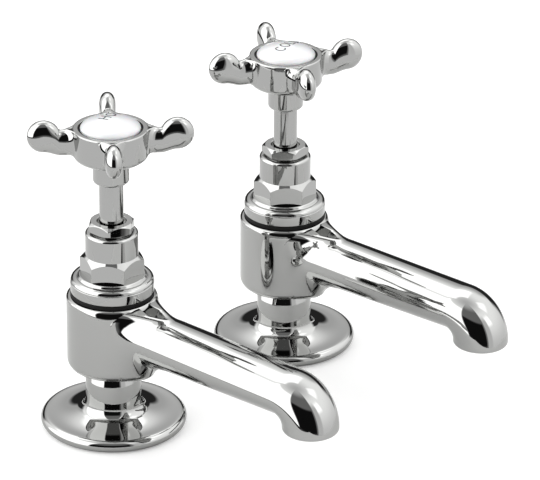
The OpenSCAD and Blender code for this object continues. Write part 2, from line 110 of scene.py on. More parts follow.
class CastingSizes(bpy.types.PropertyGroup):
    """Sizes of the cast body, its tail and its spout."""

    body_r: size("Body radius", high("hot_body")[0] - tap_x("hot"), "Radius of the round body")
    body_foot: size("Body foot", 21.8, "Height of the body's underside over the deck")
    body_top: size("Body top", high("hot_body")[2], "Height of the body's top over the deck")
    body_corner: size("Body corner", 3.5, "Radius of the body's rounded lower edge")
    neck_r: size("Neck radius", 9.55, "Radius of the neck at its waist")
    lip_r: size("Neck lip", 10.5, "Radius of the neck where it meets the flange")
    flare_r: size("Neck flare", 4.0, "Radius of the flare that neck and flange share")
    flare_z: size("Flare height", 9.1, "Height at which the neck begins to flare")
    tail_r: size("Tail radius", 10.4775, "Major radius of the G1/2 tail thread")
    tail_foot: size("Tail foot", low("hot_body")[2], "Height of the tail's end")
    pitch: size("Thread pitch", 1.814, "Pitch of the tail thread, 14 to the inch")
    inlet_r: size("Inlet radius", 6.8, "Radius of the bore through the tail")
    reach: size("Spout reach", 90.2, "From the tap's axis to the middle of the outlet")
    root_h: size("Root height", 18.0, "Height of the spout's section at the body")
    root_w: size("Root width", 18.4, "Width of the spout's section at the body")
    nose_h: size("Nose height", 15.0, "Height of the spout's section where it turns down")
    nose_w: size("Nose width", 20.4, "Width of the spout's section where it turns down")
    outlet_r: size("Outlet radius", 9.45, "Outside radius of the outlet")
    outlet_bore_r: size("Outlet bore", 7.0, "Radius of the outlet's bore")
    rise: size("Spout rise", 1.4, "Rise of the spout's middle line up to the turn")
    elbow_r: size("Turn radius", 9.6, "Radius of the turn at the nose")
    blend: size("Blend", 13.0, "Radius of the blend between spout and body")
    top_edge: size("Top edge", 0.9, "Height of the rounded edge round the body's top")
    edge_w: size("Top edge width", 1.35, "Width of the rounded edge round the body's top")
    flare_edge: size("Flare edge", 3.0, "Radius of the rounded edge over the spout")
    flare_drop: size("Flare drop", 1.3, "How far the flare's top falls towards the spout")


class FlangeSizes(bpy.types.PropertyGroup):
    """Sizes of the base flange."""

    rim_r: size("Flange radius", radius("hot_base_flange"), "Outside radius of the base flange")
    rim_h: size("Rim height", 4.2, "Height of the rolled rim")
    dish_sag: size("Dish sag", 0.45, "How far the dished top sags")
    seal_r: size("Recess radius", radius("hot_deck_seal") + 0.06, "Radius of the recess for the seal")
    seal_t: size("Recess depth", high("hot_deck_seal")[2], "Depth of the recess for the seal")


class BonnetSizes(bpy.types.PropertyGroup):
    """Sizes of the bonnet, its seal and the gland nut."""

    flange_r: size("Bonnet radius", 14.25, "Radius of the bonnet's round flange")
    seal_foot: size("Seal foot", low("hot_bonnet_seal")[2], "Height of the black seal's underside")
    seal_top: size("Seal top", high("hot_bonnet_seal")[2], "Height of the black seal's top")
    hex_foot: size("Hexagon foot", 56.4, "Height of the foot of the hexagon")
    hex_h: size("Hexagon height", 7.3, "Height of the hexagon")
    hex_af: size("Across flats", 19.2, "Width across the flats of the hexagon")
    barrel_r: size("Barrel radius", 9.0, "Radius of the round barrel")
    barrel_top: size("Barrel top", high("hot_bonnet")[2], "Height of the barrel's top")
    shank_r: size("Shank radius", 12.0, "Radius of the threaded shank inside the body")
    gland_af: size("Gland nut width", 14.4, "Width across the flats of the gland nut")
    gland_foot: size("Gland nut foot", 72.5, "Height of the underside of the gland nut's hexagon")
    gland_top: size("Gland nut top", high("hot_gland_nut")[2], "Height of the gland nut's top")
    mouth_r: size("Gland nut mouth", 4.9, "Radius of the recess round the spindle")


class HandleSizes(bpy.types.PropertyGroup):
    """Sizes of the spindle, the crosshead and the index."""

    stem_r: size("Stem radius", 4.1, "Radius of the spindle's plain stem")
    boss_r: size("Boss radius", 6.15, "Radius of the boss under the hub")
    boss_foot: size("Boss foot", low("hot_crosshead")[2], "Height of the boss's underside")
    boss_h: size("Boss height", 7.4, "Height of the boss")
    hub_r: size("Hub radius", 12.7, "Radius of the hub")
    bowl_w: size("Bowl width", 8.5, "How far the hub's underside draws in")
    bowl_h: size("Bowl height", 3.3, "Height of the hub's rounded underside")
    rim_top: size("Rim height", 109.8, "Height of the hub's rim")
    span_r: size("Arm reach", 27.9, "From the axis to an arm's tip")
    lobe_r: size("Lobe half-height", 5.6, "Half the height and half the length of a lobe")
    lobe_w: size("Lobe half-width", 2.9, "Half the thickness of a lobe")
    neck_top: size("Arm neck drop", 0.5, "How far an arm's neck lies under the rim")
    neck_h: size("Arm neck half-height", 4.5, "Half the height of an arm at its neck")
    neck_w: size("Arm neck half-width", 2.35, "Half the thickness of an arm at its neck")
    web: size("Web radius", 4.0, "Radius of the blend of an arm's sides into the hub")
    rim_edge: size("Rim edge", 0.45, "Radius of the rounded edge of the hub's rim")
    recess: size("Index recess", 4.2, "Depth of the recess for the index")
    index_r: size("Index radius", radius("hot_index"), "Radius of the porcelain index")
    index_top: size("Index top", high("hot_index")[2], "Height of the top of the porcelain")
    ring_r: size("Index ring radius", radius("hot_index_ring"), "Outside radius of the black ring")
    word_h: size("Word height", 3.8, "Height of the letters on the index")


class TurnSettings(bpy.types.PropertyGroup):
    """How far the handles and hexagons of one tap are turned."""

    handle: angle("Handle", 0, "Angle from +X to an arm")
    bonnet: angle("Bonnet", 0, "Angle from +X to a corner")
    gland: angle("Gland nut", 0, "Angle from +X to a corner")


class FinishSettings(bpy.types.PropertyGroup):
    """Colours of the finishes."""

    chrome: color("Chrome", (0.42, 0.422, 0.415), "Colour of the chrome plate")
    porcelain: color("Porcelain", (0.86, 0.868, 0.88), "Colour of the glazed index")
    rubber: color("Rubber", (0.012, 0.012, 0.012), "Colour of the black seals")
    brass: color("Brass", (0.72, 0.53, 0.25), "Colour of the bare brass")
    ink: color("Lettering", (0.03, 0.03, 0.035), "Colour of the words on the indices")


class StudioSettings(bpy.types.PropertyGroup):
    """Place and lens of the camera."""

    azimuth: angle("Camera azimuth", -47.0, "Camera's turn about Z, 0 looks along +Y")
    elevation: angle("Camera elevation", 25.14, "Camera's height angle over the deck")
    distance: size("Camera distance", 1394, "From the camera to its target")
    target: FloatVectorProperty(name="Target", default=(8.4 * MM, 0.9 * MM, 50 * MM), subtype="TRANSLATION",
                                description="Point that the camera looks at")
    lens: FloatProperty(name="Lens", default=267.6, description="Focal length on a 36 mm sensor")


def in_mm(group):
    """The lengths of a property group in millimetres, under their own names."""
    names = [n for n in group.bl_rna.properties.keys() if n not in ("rna_type", "name")]
    return SimpleNamespace(**{n: getattr(group, n) / MM for n in names})


# Profiles and outlines

def rounded(corners, step=math.radians(8)):
    """A profile through corners (radius, height, fillet), or (radius, height) for a sharp one.

    A fillet is the arc that touches both sides of its corner. Its centre lies on the corner's bisector,
    fillet / sin(half the corner's angle) away, and its points are centre + fillet (cos a, sin a).
    """
    path = np.array([c[:2] for c in corners], float)
    points = [path[0]]
    for k in range(1, len(corners) - 1):
        fillet = corners[k][2] if len(corners[k]) > 2 else 0
        if not fillet:
            points.append(path[k])
            continue
        back, on = path[k - 1] - path[k], path[k + 1] - path[k]
        back_l, on_l = np.linalg.norm(back), np.linalg.norm(on)
        back, on = back / back_l, on / on_l
        half = math.acos(np.clip(back @ on, -1, 1)) / 2
        run = min(fillet / math.tan(half), back_l * 0.98, on_l * 0.98)
        fillet = run * math.tan(half)
        middle = path[k] + (back + on) / np.linalg.norm(back + on) * fillet / math.sin(half)
        start = path[k] + back * run - middle
        end = path[k] + on * run - middle
        first = math.atan2(start[1], start[0])
        turn = (math.atan2(end[1], end[0]) - first + math.pi) % (2 * math.pi) - math.pi
        angles = first + turn * np.linspace(0, 1, max(3, math.ceil(abs(turn) / step) + 1))
        points.extend(middle + fillet * np.stack([np.cos(angles), np.sin(angles)], axis=1))
    points.append(path[-1])
    return np.array(points)


def round_angles(count):
    """Angles of a whole turn, in even steps."""
    return np.arange(count) * 2 * math.pi / count


def unit(vectors):
    """Rows of vectors, each made one unit long."""
    return vectors / np.linalg.norm(vectors, axis=1)[:, None]


def at_height(points, z):
    """Points of an outline, (x, y), at one height or at a height each."""
    return np.concatenate([points, np.broadcast_to(z, len(points))[:, None]], axis=1)


def around(r, z, columns=COLUMNS):
    """Points (r cos a, r sin a, z) for the angles a of a whole turn, one for each column."""
    a = round_angles(columns)
    return np.stack(np.broadcast_arrays(r * np.cos(a), r * np.sin(a), z), axis=-1)


def spun(points, turn):
    """Points, (x, y) or (x, y, z), turned about Z."""
    cos_t, sin_t = math.cos(turn), math.sin(turn)
    spin = np.array([[cos_t, sin_t], [-sin_t, cos_t]])
    return np.concatenate([points[..., :2] @ spin, points[..., 2:]], axis=-1)


def mixed(first, last, share):
    """A value between two others."""
    return first + (last - first) * share


def arc(middle, r, first, last, count=12, squash=1.0):
    """Points middle + r (cos a, squash sin a) for angles in degrees from first to last."""
    a = np.radians(np.linspace(first, last, count))
    return np.stack([middle[0] + r * np.cos(a), middle[1] + squash * r * np.sin(a)], axis=1)


def turned(profile, columns=COLUMNS):
    """Surface of revolution: row i, column j lies at (r_i cos a_j, r_i sin a_j, z_i)."""
    return around(profile[:, :1], profile[:, 1:], columns)


def threaded(r, foot, top, pitch, depth, rows_a_turn=10):
    """Screw thread: at height z and angle a the radius is r less depth times a rounded saw wave of
    z / pitch - a / 2 pi, which fades out over 0.6 of a turn at both ends."""
    a = round_angles(COLUMNS)
    z = np.linspace(foot, top, int((top - foot) / pitch * rows_a_turn) + 1)[:, None]
    wave = 0.5 - 0.5 * np.cos(2 * math.pi * (z / pitch - a / (2 * math.pi)))
    wave = np.clip(wave * 1.2 - 0.1, 0, 1)
    fade = np.clip(np.minimum(z - foot, top - z) / (pitch * 0.6), 0, 1)
    return around(r - depth * wave * fade, z)


def polygon_outline(sides, across_flats, corner_round, turn, flat_points=10, arc_points=5):
    """Outline of a nut: straight flats joined by arcs of radius corner_round about the corners of the
    same polygon drawn in by that radius."""
    step = 2 * math.pi / sides
    inner = (across_flats / 2 - corner_round) / math.cos(step / 2)
    corner = turn + np.arange(sides)[:, None] * step
    a = corner + np.linspace(-step / 2, step / 2, arc_points)
    arcs = np.stack([inner * way(corner) + corner_round * way(a) for way in (np.cos, np.sin)], axis=-1)
    share = np.linspace(0, 1, flat_points + 2)[1:-1, None]
    ends = arcs[:, -1][:, None, :]
    starts = np.roll(arcs[:, 0], -1, axis=0)[:, None, :]
    flats = mixed(ends, starts, share)
    return np.concatenate([arcs, flats], axis=1).reshape(-1, 2)


def nut_side(outline, foot, top, top_r, drop, foot_r=None, foot_rise=0.0):
    """Rows of a nut from its foot to its top. Cones cut the corners: on the upper cone the height is
    top - drop (r - top_r) / (corner radius - top_r), and a lower cone does the same to the foot."""
    r = np.linalg.norm(outline, axis=1)
    away = unit(outline)
    corner = r.max()
    upper = top - drop * np.clip(r - top_r, 0, None) / (corner - top_r)
    lower = foot
    rows = []
    if foot_r:
        lower = foot + foot_rise * np.clip(r - foot_r, 0, None) / (corner - foot_r)
        rows.append(at_height(away * foot_r, foot))
    rows += [at_height(outline, z) for z in (lower, (lower + upper) / 2, upper)]
    rows.append(at_height(away * (top_r + (r - top_r)[:, None] / 2), (upper + top) / 2))
    rows.append(at_height(away * top_r, top))
    return np.stack(rows)


def between(first, last, share):
    """Unit directions that turn evenly from one unit direction to another."""
    turn = np.arccos(np.clip((first * last).sum(axis=1), -1, 1))[:, None]
    turn = np.maximum(turn, 1e-6)
    return (np.sin((1 - share) * turn) * first + np.sin(share * turn) * last) / np.sin(turn)


def blend_rows(profile, section, normals, radii, planes, edges, depth, steps=16, edge_steps=6):
    """Rolling-ball blend of an arm that leaves a turned hub along +X, trimmed at the hub's top and foot.

    The arm's section gives (y, z) and the outward normals. For each of its points a ball of the given
    radius touches both surfaces: its centre is the point moved out by the radius, and its distance from
    the axis is read from the hub's profile moved out by the same radius. The blend is the arc of the ball
    between the two contacts. Where it would pass the plane given for its side, the top above the arm and
    the foot under it, it ends in a small round that touches both the blend and the plane: the round's centre
    lies on the ball's radius, edge inside the plane. Depth is how far the first row is carried on into the
    hub. Returns the rows and each column's place along +X.
    """
    tangent = unit(np.gradient(profile, axis=0))
    outward = np.stack([tangent[:, 1], -tangent[:, 0]], axis=1)
    centre_y = section[:, 0] + radii * normals[:, 0]
    centre_z = section[:, 1] + radii * normals[:, 1]
    count = len(section)
    hub = np.empty((count, 3))
    for k in range(count):
        moved = profile + radii[k] * outward
        order = np.argsort(moved[:, 1])
        for c, values in enumerate((moved[:, 0], *outward.T)):
            hub[k, c] = np.interp(centre_z[k], moved[order, 1], values[order])
    hub_r = hub[:, 0]
    hub_n = unit(hub[:, 1:])
    centre_x = np.sqrt(np.clip(hub_r ** 2 - centre_y ** 2, 0, None))
    centre = np.stack([centre_x, centre_y, centre_z], axis=1)
    to_hub = -np.stack([hub_n[:, 0] * centre_x / hub_r, hub_n[:, 0] * centre_y / hub_r, hub_n[:, 1]], axis=1)
    to_arm = -np.stack([np.zeros(count), normals[:, 0], normals[:, 1]], axis=1)

    # Share of the arc at which the round inside the plane begins, found on a fine scale
    way = np.where(normals[:, 1] >= 0, 1.0, -1.0)
    plane = np.where(way > 0, planes[0], planes[1])
    edge = np.where(way > 0, edges[0], edges[1])
    scale = np.linspace(0, 1, 400)
    heights = np.stack([centre_z + (radii + edge) * between(to_hub, to_arm, s)[:, 2] for s in scale])
    start = scale[np.argmax(way * heights <= way * plane - edge, axis=0)]
    at_start = between(to_hub, to_arm, start[:, None])
    trimmed = start > 0
    round_centre = centre + (radii + edge)[:, None] * at_start
    up = np.where(trimmed[:, None], way[:, None] * np.array([[0.0, 0.0, 1.0]]), -at_start)
    rows = [round_centre + edge[:, None] * between(up, -at_start, s)
            for s in np.linspace(0, 1, edge_steps, endpoint=False)]
    rows += [centre + radii[:, None] * between(to_hub, to_arm, mixed(start, 1, s)[:, None])
             for s in np.linspace(0, 1, steps)]
    inward = unit(rows[0] * np.array([1, 1, 0]))
    buried = rows[0] - inward * np.where(way > 0, depth, depth * 1.8)[:, None]
    buried[:, 2] -= way * 0.15
    return np.stack([buried] + rows), centre_x


# Meshes

def grid_faces(rows, columns, wrap_rows=False):
    """Quads over a grid of points that closes round its columns."""
    r0, c0 = np.meshgrid(np.arange(rows if wrap_rows else rows - 1), np.arange(columns), indexing="ij")
    r1 = (r0 + 1) % rows
    c1 = (c0 + 1) % columns
    corners = [r0 * columns + c0, r0 * columns + c1, r1 * columns + c1, r1 * columns + c0]
    return np.stack(corners, axis=-1).reshape(-1, 4)


def tube(points):
    """A grid whose last row joins its first, as vertices and faces."""
    return points.reshape(-1, 3), grid_faces(len(points), points.shape[1], wrap_rows=True)


def capped(points):
    """A grid closed at both ends by its end rows' middles, as vertices and faces."""
    ends = [np.broadcast_to(points[i].mean(axis=0), points[i].shape)[None] for i in (0, -1)]
    points = np.concatenate([ends[0], points, ends[1]])
    return points.reshape(-1, 3), grid_faces(len(points), points.shape[1])


def new_object(name, verts, faces, material):
    """A mesh object of one material, in the scene."""
    mesh = bpy.data.meshes.new(name)
    mesh.from_pydata(verts, [], faces)
    mesh.materials.append(material)
    item = bpy.data.objects.new(name, mesh)
    bpy.context.scene.collection.objects.link(item)
    return item


def put_piece(side, name, nodes, shells, slot, finish_name=None, body="taps", sharp=35.0, edge=0.0):
    """One object from closed shells, moved to its tap, with doubles merged and normals outwards. It takes
    the place of the named nodes of its tap."""
    verts = np.concatenate([v for v, _ in shells]) * MM
    verts[:, 0] += tap_x(side) * MM
    start = np.cumsum([0] + [len(v) for v, _ in shells[:-1]])
    faces = np.concatenate([f + s for (_, f), s in zip(shells, start)])
    piece = new_object(side + "_" + name, verts, faces, finish(finish_name or slot))
    mesh = piece.data
    work = bmesh.new()
    work.from_mesh(mesh)
    bmesh.ops.remove_doubles(work, verts=work.verts, dist=1e-7)
    bmesh.ops.dissolve_degenerate(work, edges=work.edges, dist=1e-8)
    bmesh.ops.recalc_face_normals(work, faces=work.faces)
    work.to_mesh(mesh)
    work.free()
    mesh.shade_smooth()
    mesh.set_sharp_from_angle(angle=math.radians(sharp))
    if edge:
        bevel = piece.modifiers.new("edge", "BEVEL")
        bevel.width = edge * MM
        bevel.segments = 2
        bevel.limit_method = "ANGLE"
        bevel.angle_limit = math.radians(sharp)
        bevel.use_clamp_overlap = True
    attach(piece, body)
    nodes = [side + "_" + node for node in nodes]
    if nodes:
        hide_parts(*nodes)


# Finishes

def nodes_of(material):
    """A fresh material's node tree with its Principled BSDF."""
    material.use_nodes = True
    tree = material.node_tree
    return tree, tree.nodes["Principled BSDF"]


def put(tree, kind, *values, **settings):
    """A new shader node. Values go to its inputs in order, where None leaves one alone, and settings to its
    own settings or its inputs of that name. A socket is linked and all else is set."""
    item = tree.nodes.new("ShaderNode" + kind)
    for key, value in {**settings, **dict(enumerate(values))}.items():
        if isinstance(key, str) and hasattr(item, key):
            setattr(item, key, value)
        elif isinstance(value, bpy.types.NodeSocket):
            tree.links.new(value, item.inputs[key])
        elif value is not None:
            item.inputs[key].default_value = value
    return item


def calc(tree, operation, *values):
    """The output of a Math node."""
    return put(tree, "Math", *values, operation=operation).outputs[0]


def mix(tree, share, first, second):
    """The output of a Mix node for single values."""
    return put(tree, "Mix", share, None, first, second, data_type="FLOAT").outputs[0]


def new_group(name, inputs, outputs):
    """A new node group with its inputs and outputs. An input whose default is None is a vector."""
    tree = bpy.data.node_groups.new(name, "ShaderNodeTree")
    for label, default in inputs.items():
        kind = "NodeSocketVector" if default is None else "NodeSocketFloat"
        socket = tree.interface.new_socket(label, in_out="INPUT", socket_type=kind)
        if default is not None:
            socket.default_value = default
    for label in outputs:
        tree.interface.new_socket(label, in_out="OUTPUT", socket_type="NodeSocketFloat")
    return tree, tree.nodes.new("NodeGroupInput").outputs, tree.nodes.new("NodeGroupOutput").inputs


def wear_group():
    """Fine wear that every finish uses: a soft mottle for roughness and a height for a bump.

    The roughness is the height stretched between Low and High. The height mixes a broad noise with one
    nine times finer."""
    tree, given, result = new_group("surface_wear", {"Scale": 60.0, "Low": 0.05, "High": 0.1, "Fine": 0.3},
                                    ("Roughness", "Height"))
    place = put(tree, "TexCoord").outputs["Object"]
    broad = put(tree, "TexNoise", Vector=place, Scale=given["Scale"], Detail=2.0, Roughness=0.5)
    fine = put(tree, "TexNoise", Vector=place, Scale=calc(tree, "MULTIPLY", given["Scale"], 9.0), Detail=3.0,
               Roughness=0.6)
    height = mix(tree, given["Fine"], broad.outputs["Fac"], fine.outputs["Fac"])
    spread = put(tree, "MapRange", Value=height, **{"To Min": given["Low"], "To Max": given["High"]})
    tree.links.new(spread.outputs["Result"], result["Roughness"])
    tree.links.new(height, result["Height"])
    return tree


def worn_finish(name, rgb, scale, rough, fine=0.3, bump=0.0, **sockets):
    """A material whose roughness mottles between two values, with a bump from the same wear."""
    material = bpy.data.materials.new(name)
    tree, shader = nodes_of(material)
    shader.inputs["Base Color"].default_value = (*rgb, 1.0)
    for key, value in sockets.items():
        shader.inputs[key.replace("_", " ")].default_value = value
    wear = put(tree, "Group", node_tree=bpy.data.node_groups.get("surface_wear") or wear_group(),
               Scale=scale, Low=rough[0], High=rough[1], Fine=fine)
    tree.links.new(wear.outputs["Roughness"], shader.inputs["Roughness"])
    if bump:
        relief = put(tree, "Bump", Strength=bump, Distance=BUMP_DEPTH, Height=wear.outputs["Height"])
        tree.links.new(relief.outputs["Normal"], shader.inputs["Normal"])
    return material


BUMP_DEPTH = 0.05 * MM
# Each finish has its material's name, its colour or the name of the setting that holds it, how fine its
# wear is, its lowest and highest roughness, and what else it sets
FINISHES = {
    "chrome": ("polished_chrome", "chrome", 45.0, (0.015, 0.045), {"bump": 0.02, "Metallic": 1.0}),
    "turned_chrome": ("turned_chrome", "chrome", 90.0, (0.03, 0.08), {"bump": 0.03, "Metallic": 1.0}),
    "porcelain": ("glazed_porcelain", "porcelain", 35.0, (0.05, 0.1), {
        "bump": 0.04, "Coat_Weight": 0.6, "Coat_Roughness": 0.03, "Subsurface_Weight": 0.12,
        "Subsurface_Scale": 0.6 * MM}),
    "black_rubber": ("black_rubber", "rubber", 300.0, (0.5, 0.75), {"bump": 0.2, "Specular_IOR_Level": 0.12}),
    "grey_rubber": ("grey_rubber", (0.16, 0.16, 0.16), 300.0, (0.6, 0.8), {"bump": 0.2}),
    "brass": ("turned_brass", "brass", 120.0, (0.18, 0.34), {"bump": 0.12, "Metallic": 1.0}),
    "white_nylon": ("white_nylon", (0.8, 0.8, 0.76), 200.0, (0.4, 0.55), {"bump": 0.08}),
    "packing": ("greased_packing", (0.1, 0.09, 0.08), 900.0, (0.5, 0.8), {"fine": 0.7, "bump": 0.5}),
    "steel": ("zinc_plated_steel", (0.56, 0.56, 0.55), 250.0, (0.2, 0.4), {"bump": 0.1, "Metallic": 1.0}),
    "ink": ("fired_ink", "ink", 400.0, (0.2, 0.35), {"bump": 0.05}),
}
MADE = {}


def finish(name):
    """One of the finishes by name, made when it is first asked for."""
    if name not in MADE:
        label, rgb, scale, rough, more = FINISHES[name]
        if isinstance(rgb, str):
            rgb = getattr(bpy.context.scene.tap_finish, rgb)
        MADE[name] = worn_finish(label, rgb, scale, rough, **more)
    return MADE[name]


# Shapes of the pieces

# How far the spindle's round stem reaches up into the boss, where its square begins
STEM_IN_BOSS = 3.4


def flare_split(s):
    """Angle of the flare, in degrees, and height at which it passes from the neck to the flange."""
    turn = math.acos(1 - (s.lip_r - s.neck_r) / s.flare_r)
    return math.degrees(turn), s.flare_z - s.flare_r * math.sin(turn)


def casting_shells(s):
    """Shells of the casting: the turned tail, neck and body with their bores, and the spout."""
    relief = s.tail_r - 0.65
    lip_turn, lip_z = flare_split(s)
    body_r, foot, top = s.body_r, s.body_foot, s.body_top
    tail = rounded([
        (s.inlet_r, foot - 1), (s.inlet_r, s.tail_foot, 0.8), (s.tail_r - 1.2, s.tail_foot, 0.6),
        (s.tail_r - 0.05, s.tail_foot + 1.1, 0.3), (s.tail_r, s.tail_foot + 1.6)])
    thread = threaded(s.tail_r, s.tail_foot + 1.7, -2.0, s.pitch, depth=1.0)
    neck = np.concatenate([
        np.array([[relief, -1.9], [relief, lip_z - 0.3]]),
        arc((s.neck_r + s.flare_r, s.flare_z), s.flare_r, 180 + lip_turn, 181, 16),
        rounded([
            (s.neck_r, s.flare_z + 3.5), (s.neck_r, foot - 4.6, 2.0), (s.neck_r - 0.9, foot - 1.5, 0.5),
            (s.neck_r - 0.9, foot, 0.5), (body_r, foot - 0.45, s.body_corner), (body_r, top - 4)])])
    # From the mouth down: the bonnet's thread, the chamber, the raised seat and the inlet
    mouth_r, chamber_r, seat_r, bore_r = body_r - 3.6, body_r - 4.5, 7.65, 6.35
    thread_foot, chamber_foot, seat_top = top - 6.7, foot + 4.2, top - 18.2
    inside = rounded([
        (body_r - 2, top), (mouth_r, top, 0.4), (mouth_r - 0.04, thread_foot), (chamber_r, thread_foot),
        (chamber_r, chamber_foot), (seat_r, chamber_foot), (seat_r, seat_top, 0.5), (bore_r, seat_top, 0.3),
        (bore_r, foot), (s.inlet_r, foot - 0.9)])
    rows = [turned(tail), thread, turned(neck), top_edge_rows(s), turned(inside)]
    return [tube(np.concatenate(rows)), spout_shell(s)]


def top_edge_rows(s):
    """The rounded edge round the body's top: a quarter of an ellipse, whose height grows smoothly from
    top_edge to flare_edge as the angle from the spout goes from 100 to 51 degrees."""
    away = np.degrees(np.arccos(-np.sin(round_angles(COLUMNS))))
    far, near = 100, 51
    share = np.clip((far - away) / (far - near), 0, 1)
    height = mixed(s.top_edge, s.flare_edge, share * share * (3 - 2 * share))
    e = np.linspace(0, math.pi / 2, 12)[:, None]
    return around(s.body_r - s.edge_w * (1 - np.cos(e)), s.body_top - height * (1 - np.sin(e)))


def spout_shell(s, columns=128):
    """The spout as rings of points: an oval whose half-axes change from root to nose, carried along a
    line and round a quarter turn, blended into the body, rounded at the outlet and bored from below."""
    t = round_angles(columns)
    cos_t, sin_t = np.cos(t), np.sin(t)
    root_under_top = 1.5
    root_z = s.body_top - s.root_h / 2 - root_under_top
    nose_z = root_z + s.rise
    nose_y = s.reach - s.elbow_r
    taper_y = s.body_r + 1.3
    normals = unit(np.stack([cos_t / s.root_w, sin_t / s.root_h], axis=1))
    section = np.stack([s.root_w / 2 * cos_t, root_z + s.root_h / 2 * sin_t], axis=1)
    wall = np.stack([np.full(200, s.body_r), np.linspace(s.body_foot - 20, s.body_top + 20, 200)], axis=1)
    plane = s.body_top - s.flare_drop * np.clip(sin_t, 0, 1)
    blend, start = blend_rows(wall, section, normals, np.full(columns, s.blend),
                              (plane, s.body_foot - 0.45), (s.flare_edge, s.body_corner), 1.6, steps=26)
    # The blend is worked out along +X and turned to the spout's way, -Y
    blend = np.stack([blend[..., 1], -blend[..., 0], blend[..., 2]], axis=-1)
    # Over the spout a straight slope runs from under the bonnet's seal to the flare's rounded edge
    deep, first = blend[0], blend[1]
    first_r = np.linalg.norm(first[:, :2], axis=1)
    ledge_r = np.minimum(s.body_r - 2, first_r - 0.2)
    ledge = at_height(first[:, :2] * (ledge_r / first_r)[:, None], s.body_top - 0.02)
    over = ((sin_t > 0) & (first[:, 2] > s.body_top - 1))[:, None]
    ledge = np.where(over, ledge, (deep + first) / 2)
    deep = np.where(over, ledge - np.array([0, 0, 2.0]), deep)
    blend = np.concatenate([[deep, ledge], blend[1:]])

    def ring(a):
        y = mixed(start, nose_y, a)
        share = np.clip((y - taper_y) / (nose_y - taper_y), 0, 1)
        half_w = mixed(s.root_w, s.nose_w, share) / 2
        half_h = mixed(s.root_h, s.nose_h, share) / 2
        return np.stack([half_w * cos_t, -y, root_z + s.rise * share + half_h * sin_t], axis=1)

    def bend(b, draw_in=0.0, drop=0.0):
        share = (1 - math.cos(2 * b)) / 2
        half_w = mixed(s.nose_w / 2, s.outlet_r, share) - draw_in
        half_h = mixed(s.nose_h / 2, s.outlet_r, share) - draw_in
        y = nose_y + s.elbow_r * math.sin(b)
        z = nose_z - s.elbow_r * (1 - math.cos(b)) - drop
        return np.stack([half_w * cos_t, -y - half_h * sin_t * math.sin(b),
                         z + half_h * sin_t * math.cos(b)], axis=1)

    tube_rows = [ring(a) for a in np.linspace(0, 1, 37)[1:]]
    quarter = math.pi / 2
    elbow = [bend(b) for b in np.linspace(0, quarter, 45)[1:]]
    lip_r = 1.1
    lip = [bend(quarter, lip_r * (1 - math.cos(e)), lip_r * math.sin(e))
           for e in np.linspace(0, quarter, 9)[1:]]
    foot_z = nose_z - s.elbow_r - lip_r

    def bore(r, y, z):
        return at_height(np.stack([r * cos_t, -y - r * sin_t], axis=1), z)

    # The outlet's bore, then the narrower waterway above it
    mouth_r, way_r, way_y, chamfer = s.outlet_bore_r, 4.6, s.reach - 2.2, 0.3
    bore_rows = [bore(r, y, foot_z + z) for r, y, z in (
        (mouth_r + chamfer, s.reach, 0), (mouth_r, s.reach, chamfer), (mouth_r, s.reach, 4),
        (way_r, way_y, 4), (way_r, way_y, 9))]
    return capped(np.stack(list(blend) + tube_rows + elbow + lip + bore_rows))


def flange_shells(s, c):
    """The base flange: rolled rim, dished top that runs into the neck's flare, and the seal's recess."""
    rim = s.rim_h / 2
    rim_x = s.rim_r - rim
    lip_turn, lip_z = flare_split(c)
    bore = c.lip_r + 0.04
    dish_from = np.array([rim_x - 0.5, s.rim_h])
    dish_turn = 254
    flare = arc((c.neck_r + c.flare_r, c.flare_z), c.flare_r, dish_turn, 180 + lip_turn, 12)
    share = np.linspace(0, 1, 24)[:, None]
    dish = mixed(dish_from, flare[0], share)
    dish[:, 1] -= s.dish_sag * np.sin(math.pi * share[:, 0])
    profile = np.concatenate([
        [[bore, s.seal_t], [s.seal_r, s.seal_t], [s.seal_r, 0.0], [rim_x - 0.4, 0.0]],
        arc((rim_x, rim), rim, -80, 92, 26),
        dish,
        flare[1:],
        [[bore, lip_z - 0.3]]])
    return [tube(turned(profile, 256))]


def bonnet_shells(s, turn):
    """The bonnet: shank and bores, round flange with its bead and cove, hexagon and barrel."""
    r = s.flange_r
    foot = s.seal_top
    shank_foot = foot - 8.8
    thread_top, gland_z = shank_foot + 21.2, s.barrel_top - 7
    stem_bore, thread_bore, gland_bore = 4.15, 5.65, 6.95
    under = rounded([
        (stem_bore, gland_z - 2), (stem_bore, thread_top), (thread_bore, thread_top),
        (thread_bore, shank_foot, 0.3), (s.shank_r - 0.9, shank_foot, 0.3), (s.shank_r, shank_foot + 1)])
    thread = threaded(s.shank_r, shank_foot + 1.1, foot - 1.5, pitch=1.41, depth=0.7)
    flange = rounded([
        (s.shank_r - 0.3, foot - 1.4), (s.shank_r - 0.3, foot), (r, foot, 0.25), (r, foot + 3.35, 0.12),
        (r - 0.18, foot + 3.5), (r - 0.05, foot + 3.6, 0.1), (r - 0.15, foot + 5.0, 1.5),
        (r - 2.0, foot + 5.25, 0.5), (r - 2.35, foot + 5.05, 0.25), (r - 2.9, s.hex_foot, 0.6),
        (s.hex_af / 2 - 1.2, s.hex_foot)])
    inner = np.array([[gland_bore, s.hex_foot], [gland_bore, gland_z], [stem_bore, gland_z]])
    lower = tube(np.concatenate([turned(under), thread, turned(flange), turned(inner)]))
    barrel = tube(turned(np.concatenate([
        [[7.0, s.hex_foot - 1], [s.barrel_r, s.hex_foot - 1]],
        rounded([(s.barrel_r, s.barrel_top - 8), (s.barrel_r, s.barrel_top, 0.95),
                 (gland_bore, s.barrel_top, 0.2), (gland_bore, gland_z)])])))
    outline = polygon_outline(6, s.hex_af, 0.35, turn)
    side_rows = nut_side(outline, s.hex_foot - 0.1, s.hex_foot + s.hex_h, s.barrel_r - 0.02, drop=2.15)
    return [lower, barrel, capped(side_rows)]


